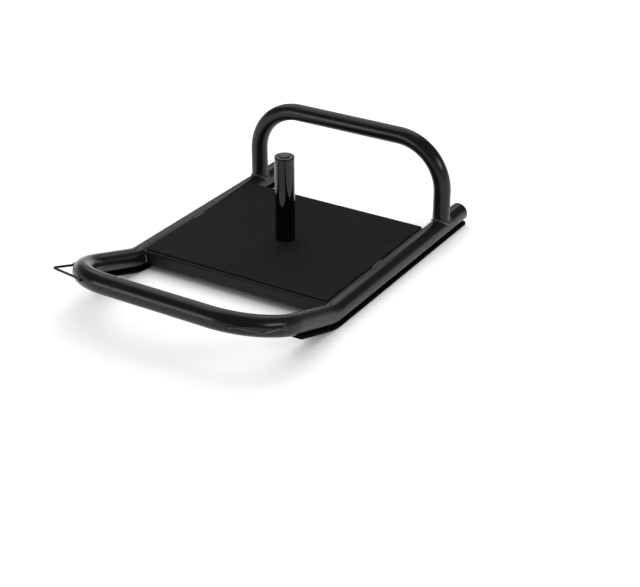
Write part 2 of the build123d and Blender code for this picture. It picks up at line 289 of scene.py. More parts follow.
def turn_round(mesh, edges, centre, axis, angle, steps):
    """Spins edges round an axis and gives the edges at the far end."""
    verts = list({vert for edge in edges for vert in edge.verts})
    made = bmesh.ops.spin(
        mesh, geom=verts + edges, cent=centre, axis=axis, angle=angle, steps=steps, use_duplicate=False
    )
    return only(made["geom_last"], bmesh.types.BMEdge)


def draw_tube(mesh, corners, bends, radius, sides):
    """Draws a tube's skin through its corner points as a bender makes it: straight, bend, straight."""
    ends = draw_ring(mesh, corners[0], corners[1] - corners[0], radius, sides)
    reached = corners[0]
    degrees_per_step = 3
    for before, corner, after, bend in zip(corners, corners[1:], corners[2:], bends):
        arriving = (corner - before).normalized()
        leaving = (after - corner).normalized()
        angle = arriving.angle(leaving)
        tangent = bend * math.tan(angle / 2)
        bend_start = corner - arriving * tangent
        ends = pull(mesh, ends, bend_start - reached)
        axis = arriving.cross(leaving).normalized()
        centre = bend_start + axis.cross(arriving) * bend
        steps = max(4, round(math.degrees(angle) / degrees_per_step))
        ends = turn_round(mesh, ends, centre, axis, angle, steps)
        reached = corner + leaving * tangent
    pull(mesh, ends, corners[-1] - reached)


def wall(mesh, thickness):
    """Gives an open skin its wall, inwards."""
    bmesh.ops.recalc_face_normals(mesh, faces=mesh.faces[:])
    bmesh.ops.solidify(mesh, geom=mesh.faces[:], thickness=thickness)


def turned(outline, rounds, round_radius, steps=96):
    """A new mesh: an outline of radius and height, with some corners rounded, spun round the Z axis."""
    mesh = bmesh.new()
    verts = [mesh.verts.new((radius, 0, height)) for radius, height in outline]
    for pair in zip(verts, verts[1:]):
        mesh.edges.new(pair)
    starts_off_axis = outline[0][0] > 0
    if starts_off_axis:
        mesh.edges.new((verts[-1], verts[0]))
    round_off(mesh, [verts[index] for index in rounds], round_radius, "VERTICES", segments=4)
    bmesh.ops.spin(
        mesh, geom=mesh.verts[:] + mesh.edges[:], cent=ORIGIN, axis=Z_AXIS,
        angle=math.tau, steps=steps, use_merge=True, use_duplicate=False,
    )
    return mesh


def hollow_plug(bore, depth):
    """The outline of a cap's plug, from below its flange to the axis, that goes into a bore."""
    thickness = 2.5 * MM
    outer = bore - PLUG_PLAY
    inner = outer - thickness
    return [(outer, 0), (outer, -depth), (inner, -depth), (inner, 0), (0, 0)]


def lay_bead(mesh, curve, outward, radius, ripples, closed=False):
    """Lays a rippled weld bead along a curve: curve and outward take a share from 0 to 1 of its run."""
    steps_per_ripple = 6
    sides = 12
    near = 0.001
    steps = ripples * steps_per_ripple
    old = set(mesh.verts)
    edges = draw_ring(mesh, ORIGIN, Z_AXIS, radius, sides)
    if not closed:
        bmesh.ops.contextual_create(mesh, geom=edges)
    for _ in range(steps):
        edges = pull(mesh, edges, Z_AXIS / steps)
    if not closed:
        bmesh.ops.contextual_create(mesh, geom=edges)
    for vert in mesh.verts:
        if vert in old:
            continue
        along = vert.co.z
        ripple = 1 - BEAD_DIP + BEAD_DIP * abs(math.sin(math.pi * ripples * along))
        from_end = min(along, 1 - along) * ripples
        section = 1 if closed else min(1, max(BEAD_END + from_end * BEAD_GROWTH, BEAD_END))
        run = (curve(along + near) - curve(along - near)).normalized()
        side = (outward(along) - run * outward(along).dot(run)).normalized()
        across = side * vert.co.x + run.cross(side) * vert.co.y
        vert.co = curve(along) + across * ripple * math.sqrt(section)


def tidy(mesh):
    """Merges what meets and turns every face outwards."""
    bmesh.ops.remove_doubles(mesh, verts=mesh.verts[:], dist=0.005 * MM)
    bmesh.ops.recalc_face_normals(mesh, faces=mesh.faces[:])


def show(mesh, name, finish_name, nodes, crease_degrees=35):
    """Turns the drawn mesh into a shown piece that stands for its nodes of the frame."""
    tidy(mesh)
    material, slot = finish(finish_name)
    data = bpy.data.meshes.new(name)
    for face in mesh.faces:
        face.smooth = True
    mesh.to_mesh(data)
    mesh.free()
    data.set_sharp_from_angle(angle=math.radians(crease_degrees))
    data.materials.append(material)
    piece = bpy.data.objects.new(name, data)
    bpy.context.scene.collection.objects.link(piece)
    shading = piece.modifiers.new("even_shading", "WEIGHTED_NORMAL")
    shading.keep_sharp = True
    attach(piece, "root")
    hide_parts(*nodes)


def draw_sheet(width, depth, centre):
    """A new mesh with one level rectangle."""
    mesh = bmesh.new()
    bmesh.ops.create_grid(mesh, x_segments=1, y_segments=1, size=0.5)
    bmesh.ops.scale(mesh, verts=mesh.verts[:], vec=(width, depth, 1))
    move(mesh, centre)
    return mesh


def raise_sheet(mesh, height):
    """Makes a level sheet a block of a height."""
    made = bmesh.ops.extrude_face_region(mesh, geom=mesh.faces[:])["geom"]
    bmesh.ops.translate(mesh, verts=only(made, bmesh.types.BMVert), vec=(0, 0, height))
    bmesh.ops.recalc_face_normals(mesh, faces=mesh.faces[:])


def slice_flat(mesh, point, direction):
    """Cuts every face along a plane, without taking anything away."""
    bmesh.ops.bisect_plane(
        mesh, geom=mesh.verts[:] + mesh.edges[:] + mesh.faces[:], plane_co=point, plane_no=direction
    )


def slice_levels(mesh, low, height, levels):
    """Cuts level lines between a low point and a height above it, for the sides to follow a round."""
    for level in range(1, levels):
        slice_flat(mesh, Z_AXIS * (low + height * level / levels), Z_AXIS)


def fit_between_rails(mesh, places):
    """Moves the side ends of a mesh out to the round of the rails."""
    for vert in mesh.verts:
        vert.co.x = math.copysign(rail_half_gap(places, vert.co.z), vert.co.x)


def carve(blank, tool, operation):
    """Cuts a closed mesh with a closed tool, or keeps only what lies inside the tool."""
    pieces = []
    for mesh in (blank, tool):
        data = bpy.data.meshes.new("carving")
        mesh.to_mesh(data)
        mesh.free()
        piece = bpy.data.objects.new("carving", data)
        bpy.context.scene.collection.objects.link(piece)
        pieces.append(piece)
    cut = pieces[0].modifiers.new("cut", "BOOLEAN")
    cut.operation = operation
    cut.object = pieces[1]
    cut.solver = "EXACT"
    result = bmesh.new()
    result.from_object(pieces[0], bpy.context.evaluated_depsgraph_get())
    for piece in pieces:
        data = piece.data
        bpy.data.objects.remove(piece)
        bpy.data.meshes.remove(data)
    return result


def drill(mesh, centre, radius, depth):
    """Cuts a round hole that reaches the depth both ways from a centre."""
    tool = bmesh.new()
    bmesh.ops.create_cone(
        tool, cap_ends=True, segments=96, radius1=radius, radius2=radius, depth=depth * 2,
        matrix=Matrix.Translation(centre),
    )
    return carve(mesh, tool, "DIFFERENCE")


def make_hexagonal(mesh, beyond_radius, across_flats):
    """Draws what lies beyond a radius round the Z axis in to the flats of a hexagon."""
    for vert in mesh.verts:
        radius = math.hypot(vert.co.x, vert.co.y)
        if radius < beyond_radius:
            continue
        sixth = math.tau / 6
        from_flat = math.atan2(vert.co.y, vert.co.x) % sixth - sixth / 2
        flat_radius = across_flats / 2 / math.cos(from_flat)
        if radius > flat_radius:
            vert.co.x *= flat_radius / radius
            vert.co.y *= flat_radius / radius


def rail_top(places, x):
    """The height of a rail's skin above its axis's level at a distance x from the middle plane."""
    across = abs(x) - places.rear.x
    return places.rear.z + math.sqrt(max(places.radius ** 2 - across ** 2, 0))


# Materials

def add_node(tree, kind, inputs=None, **settings):
    """Adds a node, sets it and its input sockets, and links the inputs that are given as sockets."""
    node = tree.nodes.new(kind)
    for key, value in settings.items():
        setattr(node, key, value)
    for socket, value in (inputs or {}).items():
        if isinstance(value, bpy.types.NodeSocket):
            tree.links.new(value, node.inputs[socket])
        else:
            node.inputs[socket].default_value = value
    return node


def per_metre(size_mm):
    """The texture scale whose pattern is about this many millimetres across."""
    return 1 / (size_mm * MM)


def rgba(colour_value):
    return (*colour_value, 1)


def clouded(name, shader, roughness, cloud_mm, cloud_detail, tints=(), grain_mm=0, grain_detail=0,
            grain_depth_mm=0):
    """A surface whose gloss, and colour between two tints, drift in soft clouds, over a fine grain."""
    material = bpy.data.materials.new(name)
    material.use_nodes = True
    tree = material.node_tree
    tree.nodes.clear()
    place = add_node(tree, "ShaderNodeTexCoord").outputs["Object"]
    cloud = add_node(
        tree, "ShaderNodeTexNoise", {"Vector": place, "Scale": per_metre(cloud_mm), "Detail": cloud_detail}
    )
    gloss = add_node(
        tree, "ShaderNodeMapRange",
        {"Value": cloud.outputs[0], "From Min": 0.3, "From Max": 0.7,
         "To Min": roughness[0], "To Max": roughness[1]},
    )
    inputs = {**shader, "Roughness": gloss.outputs[0]}
    if tints:
        tint = add_node(
            tree, "ShaderNodeMix", {0: cloud.outputs[0], 6: rgba(tints[0]), 7: rgba(tints[1])},
            data_type="RGBA",
        )
        inputs["Base Color"] = tint.outputs[2]
    if grain_depth_mm:
        grain = add_node(
            tree, "ShaderNodeTexNoise",
            {"Vector": place, "Scale": per_metre(grain_mm), "Detail": grain_detail},
        )
        bump = add_node(
            tree, "ShaderNodeBump",
            {"Height": grain.outputs[0], "Strength": 1.0, "Distance": grain_depth_mm * MM},
        )
        inputs["Normal"] = bump.outputs[0]
    principled = add_node(tree, "ShaderNodeBsdfPrincipled", inputs)
    add_node(tree, "ShaderNodeOutputMaterial", {"Surface": principled.outputs[0]})


def powder_coat(name, paint, thin_paint, roughness, specular, grain_depth_mm):
    """Polyester powder coat, sprayed dry and baked: black with a soft sheen and a faint orange peel."""
    clouded(
        name, {"Specular IOR Level": specular}, (roughness - 0.03, roughness + 0.04),
        cloud_mm=45, cloud_detail=4.0, tints=(paint, thin_paint),
        grain_mm=1.6, grain_detail=3.0, grain_depth_mm=grain_depth_mm,
    )


def gloss_enamel(name, paint):
    """Wet-look enamel over a polished tube: nearly a black mirror, with the faintest waviness."""
    clouded(
        name, {"Specular IOR Level": 0.4, "Base Color": rgba(paint)}, (0.03, 0.06),
        cloud_mm=25, cloud_detail=2.0, grain_mm=25, grain_detail=2.0, grain_depth_mm=0.01,
    )


def rubber(name, base):
    """Rolled rubber sheet: a dry, dead black with a fine grain that scatters the light."""
    lighter = [channel * 1.35 for channel in base]
    clouded(
        name, {"Specular IOR Level": 0.15}, (0.72, 0.85), cloud_mm=30, cloud_detail=6.0,
        tints=(base, lighter), grain_mm=0.9, grain_detail=2.0, grain_depth_mm=0.05,
    )


def moulded_plastic(name, base, roughness, specular):
    """Injection moulded plastic: an even black with a fine spark-eroded grain."""
    clouded(
        name, {"Specular IOR Level": specular, "Base Color": rgba(base)},
        (roughness - 0.04, roughness + 0.06), cloud_mm=12, cloud_detail=4.0,
        grain_mm=0.6, grain_detail=2.0, grain_depth_mm=0.02,
    )


def zinc_plate(name, base):
    """Bright zinc on steel: a cool grey metal, slightly cloudy from the plating bath."""
    darker = [channel * 0.75 for channel in base]
    clouded(
        name, {"Metallic": 1.0}, (0.26, 0.4), cloud_mm=4, cloud_detail=5.0, tints=(darker, base)
    )


# Each finish has its slot, the function that makes it, its colours and its settings
FINISHES = {
    "frame_powder_coat": (
        "frame_coat", powder_coat, ["frame_paint", "frame_paint_worn"],
        {"roughness": 0.24, "specular": 0.3, "grain_depth_mm": 0.008},
    ),
    # The coat runs thicker over a weld and dries glossier, so the beads catch the light
    "bead_powder_coat": (
        "frame_coat", powder_coat, ["frame_paint", "frame_paint_worn"],
        {"roughness": 0.14, "specular": 1.0, "grain_depth_mm": 0.004},
    ),
    # Flat sheet takes a drier, grainier coat than the tubes
    "deck_powder_coat": (
        "deck_coat", powder_coat, ["deck_paint", "frame_paint_worn"],
        {"roughness": 0.42, "specular": 0.18, "grain_depth_mm": 0.015},
    ),
    "gloss_enamel": ("post_enamel", gloss_enamel, ["post_enamel"], {}),
    "mat_rubber": ("deck_mat", rubber, ["mat_rubber"], {}),
    "cap_moulding": (
        "cap_plastic", moulded_plastic, ["cap_plastic"], {"roughness": 0.34, "specular": 0.4},
    ),
    # The rail caps and the skids are a duller plastic that shows next to no highlight
    "rail_cap_moulding": (
        "cap_plastic", moulded_plastic, ["skid_plastic"], {"roughness": 0.6, "specular": 0.12},
    ),
    "skid_moulding": (
        "skid_plastic", moulded_plastic, ["skid_plastic"], {"roughness": 0.85, "specular": 0.05},
    ),
    "zinc_plate": ("fastener_steel", zinc_plate, ["zinc"], {}),
}


def finish(name):
    """A finish's material, made the first time it is asked for, and its slot."""
    slot, make, colours, settings = FINISHES[name]
    if name not in bpy.data.materials:
        make(name, *[getattr(bpy.context.scene.sled_finishes, key) for key in colours], **settings)
    return bpy.data.materials[name], slot


# Operators

class SLED_OT_stage(bpy.types.Operator):
    """Sets the camera, the pale floor, the white surround and the softboxes"""

    bl_idname = "drag_sled.stage"
    bl_label = "Stage"

    def execute(self, context):
        settings = context.scene.sled_stage
        self.place_camera(context.scene, settings)
        self.lay_floor(context.scene, settings)
        self.paint_surround(context.scene)
        self.hang_lamps(context.scene, settings)
        return {"FINISHED"}

    def place_camera(self, scene, settings):
        flat = math.cos(settings.elevation)
        back = Vector((
            math.sin(settings.azimuth) * flat,
            -math.cos(settings.azimuth) * flat,
            math.sin(settings.elevation),
        ))
        data = bpy.data.cameras.new("camera")
        data.lens = settings.lens
        data.sensor_width = 36
        data.clip_end = 100
        camera = bpy.data.objects.new("camera", data)
        camera.location = LOOK_AT + back * settings.distance
        camera.rotation_euler = (-back).to_track_quat("-Z", "Y").to_euler()
        scene.collection.objects.link(camera)
        scene.camera = camera

    def lay_floor(self, scene, settings):
        mesh = bmesh.new()
        bmesh.ops.create_circle(mesh, cap_ends=True, segments=96, radius=settings.floor_radius)
        data = bpy.data.meshes.new("floor")
        mesh.to_mesh(data)
        mesh.free()
        floor = bpy.data.objects.new("floor", data)
        scene.collection.objects.link(floor)
        material = bpy.data.materials.new("studio_floor")
        material.use_nodes = True
        tree = material.node_tree
        tree.nodes.clear()
        seen = self.seen_ray(tree)
        pale = rgba(scene.sled_finishes.floor)
        bright = rgba([FLOOR_SEEN] * 3)
        tint = add_node(tree, "ShaderNodeMix", {0: seen, 6: pale, 7: bright}, data_type="RGBA")
        matt = add_node(tree, "ShaderNodeBsdfDiffuse", {"Color": tint.outputs[2]})
        add_node(tree, "ShaderNodeOutputMaterial", {"Surface": matt.outputs[0]})
        data.materials.append(material)

    def seen_ray(self, tree):
        """1 for what the camera, a reflection or clear glass sees, 0 for light that bounces."""
        path = add_node(tree, "ShaderNodeLightPath")
        seen = path.outputs["Is Camera Ray"]
        for kind in ("Is Glossy Ray", "Is Transmission Ray"):
            either = add_node(
                tree, "ShaderNodeMath", {0: seen, 1: path.outputs[kind]}, operation="ADD", use_clamp=True
            )
            seen = either.outputs[0]
        return seen

    def paint_surround(self, scene):
        """A white sweep at the horizon for what is seen, and a soft dome of light for the rest."""
        world = bpy.data.worlds.new("surround")
        world.use_nodes = True
        tree = world.node_tree
        tree.nodes.clear()
        direction = add_node(tree, "ShaderNodeTexCoord").outputs["Generated"]
        height = add_node(tree, "ShaderNodeSeparateXYZ", {0: direction}).outputs["Z"]
        fade = add_node(
            tree, "ShaderNodeMapRange",
            {"Value": height, "From Min": 0.0, "From Max": 0.2, "To Min": 1.0, "To Max": 0.12},
            interpolation_type="SMOOTHSTEP",
        )
        dome = add_node(
            tree, "ShaderNodeMapRange",
            {"Value": height, "From Min": 0.0, "From Max": 1.0, "To Min": 0.15, "To Max": 1.0},
        )
        strength = add_node(
            tree, "ShaderNodeMix", {0: self.seen_ray(tree), 2: dome.outputs[0], 3: fade.outputs[0]},
            data_type="FLOAT",
        )
        glow = add_node(
            tree, "ShaderNodeBackground", {"Color": (1, 1, 1, 1), "Strength": strength.outputs[0]}
        )
        add_node(tree, "ShaderNodeOutputWorld", {"Surface": glow.outputs[0]})
        scene.world = world

    def hang_lamps(self, scene, settings):
        softboxes = (
            # Name, place, width and height in metres, power
            ("overhead_softbox", Vector((-0.95, 1.3, 2.1)), 3.0, 3.0, settings.key_power),
            ("front_softbox", Vector((-1.85, -3.5, 0.85)), 2.5, 1.3, settings.front_power),
            ("side_softbox", Vector((3.1, 0.1, 1.65)), 2.0, 0.5, settings.side_power),
        )
        for name, place, width, height, watts in softboxes:
            data = bpy.data.lights.new(name, "AREA")
            data.shape = "RECTANGLE"
            data.size = width
            data.size_y = height
            data.energy = watts
            lamp = bpy.data.objects.new(name, data)
            lamp.location = place
            lamp.rotation_euler = (-place).to_track_quat("-Z", "Y").to_euler()
            scene.collection.objects.link(lamp)
        scene.view_settings.view_transform = "Standard"


class SLED_OT_tubes(bpy.types.Operator):
    """Bends the main tube and the push handle"""

    bl_idname = "drag_sled.tubes"
    bl_label = "Tubes"

    def execute(self, context):
        sizes = context.scene.sled_tubes
        places = plan(context.scene)
        slope, corner = sizes.slope_bend, sizes.corner_bend
        right = [places.rear, places.turn, places.front]
        bends = [slope, corner, corner, slope]
        mesh = self.bend_tube(right, bends, places.radius, sizes.wall, sizes.sides)
        show(mesh, "main_tube", "frame_powder_coat", ["frame_tube"])

        right = [places.handle_foot, places.handle_top]
        bends = [sizes.handle_bend] * 2
        mesh = self.bend_tube(right, bends, places.handle_radius, sizes.handle_wall, sizes.sides)
        self.cope_feet(mesh, places)
        show(mesh, "push_handle", "frame_powder_coat", ["handle_tube"])
        return {"FINISHED"}

    def bend_tube(self, right, bends, radius, thickness, sides):
        """A tube through some points on the right side and the same points on the left."""
        mesh = bmesh.new()
        left = [other_side(point) for point in reversed(right)]
        draw_tube(mesh, right + left, bends, radius, sides)
        wall(mesh, thickness)
        return mesh

    def cope_feet(self, mesh, places):
        """Cuts the handle's feet to the round of the rails."""
        near_foot = places.handle_foot.z + 1 * MM
        for vert in mesh.verts:
            if vert.co.z < near_foot:
                vert.co.z = rail_top(places, vert.co.x)


class SLED_OT_deck(bpy.types.Operator):
    """Folds the deck plate, lays its ribbed mat and fits the bar below it"""

    bl_idname = "drag_sled.deck"
    bl_label = "Deck"

    def execute(self, context):
        sizes = context.scene.sled_deck
        places = plan(context.scene)
        bolt_radius = context.scene.sled_post.bolt / 2
        self.fold_plate(sizes, places, bolt_radius)
        self.lay_mat(sizes, places)
        self.fit_bar(sizes, places, bolt_radius)
        return {"FINISHED"}

    def fold_plate(self, sizes, places, bolt_radius):
        """A sheet folded down at the front and the rear, its sides cut to the round of the rails."""
        size = plate_high - plate_low
        mesh = draw_sheet(size.x, size.y, Vector((0, (plate_low.y + plate_high.y) / 2, plate_high.z)))
        folds = [edge for edge in mesh.edges if abs(edge.verts[0].co.y - edge.verts[1].co.y) < MM]
        for fold in folds:
            pull(mesh, [fold], Vector((0, 0, -size.z)))
        round_off(mesh, folds, sizes.fold, "EDGES", segments=8)
        slice_levels(mesh, plate_low.z, size.z - sizes.fold, levels=10)
        wall(mesh, sizes.thickness)
        fit_between_rails(mesh, places)
        mesh = drill(mesh, places.post, bolt_radius, size.z)
        show(mesh, "deck_tray", "deck_powder_coat", ["deck_plate"])

    def lay_mat(self, sizes, places):
        """Ribbed sheet rubber, cut to the deck with a round hole for the post."""
        size = mat_high - mat_low
        middle = (mat_low + mat_high) / 2
        ribs = math.ceil(size.y / sizes.rib_pitch) + 1
        groove_floor = mat_high.z - sizes.rib_depth
        half_groove = sizes.rib_pitch * 0.16
        slab = bmesh.new()
        bmesh.ops.create_grid(slab, x_segments=1, y_segments=ribs, size=0.5)
        spread = (size.x + 4 * sizes.rib_pitch, ribs * sizes.rib_pitch, 1)
        bmesh.ops.scale(slab, verts=slab.verts[:], vec=spread)
        move(slab, (0, middle.y, groove_floor))
        rim = [edge for edge in slab.edges if edge.is_boundary]
        bmesh.ops.inset_individual(
            slab, faces=slab.faces[:], thickness=half_groove, depth=sizes.rib_depth, use_even_offset=True
        )
        base = pull(slab, rim, Vector((0, 0, mat_low.z - groove_floor - MM)))
        bmesh.ops.contextual_create(slab, geom=base)
        tidy(slab)
        outline = draw_sheet(size.x, size.y, Vector((0, middle.y, mat_low.z)))
        round_off(outline, outline.verts[:], sizes.mat_corner, "VERTICES", segments=8)
        raise_sheet(outline, size.z + MM)
        mesh = carve(slab, outline, "INTERSECT")
        mesh = drill(mesh, places.post, places.post_radius + sizes.hole_gap, size.z)
        show(mesh, "deck_ribbed_mat", "mat_rubber", ["deck_mat"], crease_degrees=20)

    def fit_bar(self, sizes, places, bolt_radius):
        """A rectangular tube across the frame, its ends cut to the round of the rails."""
        size = bar_high - bar_low
        corner = sizes.bar_wall * 1.5
        mesh = bmesh.new()
        bmesh.ops.create_cube(mesh, size=1)
        bmesh.ops.scale(mesh, verts=mesh.verts[:], vec=size)
        move(mesh, (bar_low + bar_high) / 2)
        long_edges = [edge for edge in mesh.edges if abs((edge.verts[0].co - edge.verts[1].co).x) > MM]
        ends = [face for face in mesh.faces if abs(face.normal.x) > 0.5]
        bmesh.ops.delete(mesh, geom=ends, context="FACES_ONLY")
        round_off(mesh, long_edges, corner, "EDGES", segments=5)
        slice_levels(mesh, bar_low.z, size.z, levels=6)
        wall(mesh, sizes.bar_wall)
        fit_between_rails(mesh, places)
        mesh = drill(mesh, places.post - Z_AXIS * size.z, bolt_radius, size.z * 2)
        show(mesh, "cross_bar", "frame_powder_coat", ["deck_crossbar"])


class SLED_OT_welds(bpy.types.Operator):
    """Lays the rippled weld beads, painted over with the frame"""

    bl_idname = "drag_sled.welds"
    bl_label = "Weld beads"

    def execute(self, context):
        tubes = context.scene.sled_tubes
        deck = context.scene.sled_deck
        places = plan(context.scene)
        for side, sign in SIDES.items():
            self.weld_handle_leg(tubes, places, side, sign)
            self.weld_deck(deck, places, side, sign)
        self.weld_bar(deck, places)
        return {"FINISHED"}

    def weld_handle_leg(self, tubes, places, side, sign):
        leg = places.handle_foot
        lean = 0.4

        def saddle(at):
            x = leg.x + places.handle_radius * math.cos(at * math.tau)
            y = leg.y + places.handle_radius * math.sin(at * math.tau)
            return Vector((sign * x, y, rail_top(places, x)))

        def outward(at):
            return Vector((sign * math.cos(at * math.tau), math.sin(at * math.tau), lean))

        mesh = bmesh.new()
        lay_bead(mesh, saddle, outward, tubes.leg_bead, ripples=44, closed=True)
        show(mesh, "handle_bead_" + side, "bead_powder_coat", ["handle_weld_" + side], SOFT_CREASE)

    def weld_deck(self, sizes, places, side, sign):
        """A stitch at the middle of the deck's side, and a bead at each end of its folds."""
        edge_x = sign * rail_half_gap(places, plate_high.z)
        middle_y = (plate_low.y + plate_high.y) / 2
        lip_angles = [
            math.acos((places.rear.z - height) / places.radius)
            for height in (plate_low.z, plate_high.z - sizes.fold)
        ]

        def stitch(at):
            return Vector((edge_x, middle_y + (at - 0.5) * sizes.stitch, plate_high.z))

        def lip_end(y):
            def round_rail(at):
                angle = lip_angles[0] + (lip_angles[1] - lip_angles[0]) * at
                x = places.rear.x - places.radius * math.sin(angle)
                return Vector((sign * x, y, places.rear.z - places.radius * math.cos(angle)))
            return round_rail

        mesh = bmesh.new()
        lay_bead(mesh, stitch, lambda at: Vector((-sign, 0, 1)), sizes.bead, ripples=14)
        for y, facing in ((plate_low.y, -1), (plate_high.y, 1)):
            outward = Vector((-sign, facing, 0))
            lay_bead(mesh, lip_end(y), lambda at, outward=outward: outward, sizes.bead, ripples=9)
        show(mesh, "deck_beads_" + side, "bead_powder_coat", ["deck_welds_" + side], SOFT_CREASE)

    def weld_bar(self, sizes, places):
        """One bead along the lower edge of each end of the cross bar."""
        mesh = bmesh.new()
        for sign in SIDES.values():
            x = sign * rail_half_gap(places, bar_low.z)

            def edge(at, x=x):
                return Vector((x, bar_low.y + (bar_high.y - bar_low.y) * at, bar_low.z))

            lay_bead(mesh, edge, lambda at: -Z_AXIS, sizes.bead, ripples=12)
        show(mesh, "cross_bar_beads", "bead_powder_coat", ["crossbar_welds"], SOFT_CREASE)


class SLED_OT_post(bpy.types.Operator):
    """Turns the weight post, its cap and what bolts it on"""

    bl_idname = "drag_sled.post"
    bl_label = "Weight post"

    def execute(self, context):
        sizes = context.scene.sled_post
        places = plan(context.scene)
        self.turn_post(sizes, places)
        self.turn_cap(sizes, places)
        self.turn_fixings(sizes, places)
        return {"FINISHED"}

    def stand(self, mesh, places, height, name, finish_name, node):
        """Sets a turned piece up at a height on the post's axis and shows it."""
        move(mesh, Vector((0, places.post.y, height)))
        show(mesh, name, finish_name, [node])

    def turn_post(self, sizes, places):
        outer = places.post_radius
        inner = outer - sizes.wall
        height = post_high.z - post_low.z
        outline = [(inner, 0), (outer, 0), (outer, height), (inner, height)]
        mesh = turned(outline, [1, 2], round_radius=0.6 * MM, steps=128)
        self.stand(mesh, places, post_low.z, "weight_post", "gloss_enamel", "post_tube")

    def turn_cap(self, sizes, places):
        """A push-in cap: a button in a groove, a flange over a shadow gap, and a hollow plug below."""
        rim = places.post_radius
        flange = post_cap_high.z - post_high.z - sizes.button_rise
        top = flange + sizes.button_rise
        button = sizes.button / 2
        groove = 1.2 * MM
        gap = 2 * MM
        chamfer = 0.7 * MM
        plug_depth = 16 * MM
        outline = [
            (0, top), (button, top), (button, flange - groove), (button + groove, flange - groove),
            (button + groove, flange), (rim - chamfer, flange), (rim, flange - chamfer), (rim, gap),
            (rim - gap, gap), (rim - gap, 0), *hollow_plug(rim - sizes.wall, plug_depth),
        ]
        mesh = turned(outline, [1, 5, 6], round_radius=0.25 * MM, steps=128)
        self.stand(mesh, places, post_high.z, "post_end_cap", "cap_moulding", "post_cap")

    def turn_fixings(self, sizes, places):
        """The threaded plug in the post's foot, the washer and the hexagon bolt from below."""
        hole = sizes.bolt / 2 + BOLT_PLAY
        for name, node, rounds in (
            ("post_foot_plug", "post_base_plug", [0, 1, 2, 3]),
            ("bolt_washer", "post_washer", [1, 2]),
        ):
            low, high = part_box(node)
            outer = (high.x - low.x) / 2
            height = high.z - low.z
            outline = [(hole, 0), (outer, 0), (outer, height), (hole, height)]
            mesh = turned(outline, rounds, round_radius=0.5 * MM)
            self.stand(mesh, places, low.z, name, "zinc_plate", node)

        low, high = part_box("post_bolt")
        head_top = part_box("post_washer")[0].z - low.z
        face = sizes.bolt_head / 2 * 0.95
        corner = sizes.bolt_head / math.sqrt(3)
        corner_chamfer = 1.4 * MM
        shank = sizes.bolt / 2
        tip_chamfer = 1 * MM
        end = high.z - low.z
        outline = [
            (0, 0), (face, 0), (corner, corner_chamfer), (corner, head_top), (shank, head_top),
            (shank, end - tip_chamfer), (shank - tip_chamfer, end), (0, end),
        ]
        mesh = turned(outline, [4], round_radius=0.3 * MM, steps=72)
        make_hexagonal(mesh, beyond_radius=shank + 1 * MM, across_flats=sizes.bolt_head)
        self.stand(mesh, places, low.z, "post_hex_bolt", "zinc_plate", "post_bolt")


class SLED_OT_rail_caps(bpy.types.Operator):
    """Closes the rear ends of the rails with push-in caps"""

    bl_idname = "drag_sled.rail_caps"
    bl_label = "Rail caps"

    def execute(self, context):
        tubes = context.scene.sled_tubes
        places = plan(context.scene)
        rim = places.radius
        flange = rail_cap_high.y - places.rear.y
        depth = places.rear.y - rail_cap_low.y
        groove = rim - 5.2 * MM
        half_groove = 0.8 * MM
        groove_depth = 0.5 * MM
        outline = [
            (0, flange), (groove - half_groove, flange), (groove, flange - groove_depth),
            (groove + half_groove, flange), (rim, flange), (rim, 0), *hollow_plug(rim - tubes.wall, depth),
        ]
        for side, sign in SIDES.items():
            mesh = turned(outline, [4], round_radius=1 * MM)
            bmesh.ops.rotate(mesh, verts=mesh.verts[:], matrix=Matrix.Rotation(-math.pi / 2, 3, "X"))
            move(mesh, Vector((sign * places.rear.x, places.rear.y, places.rear.z)))
            show(mesh, "rail_end_cap_" + side, "rail_cap_moulding", ["rail_cap_" + side])
        return {"FINISHED"}


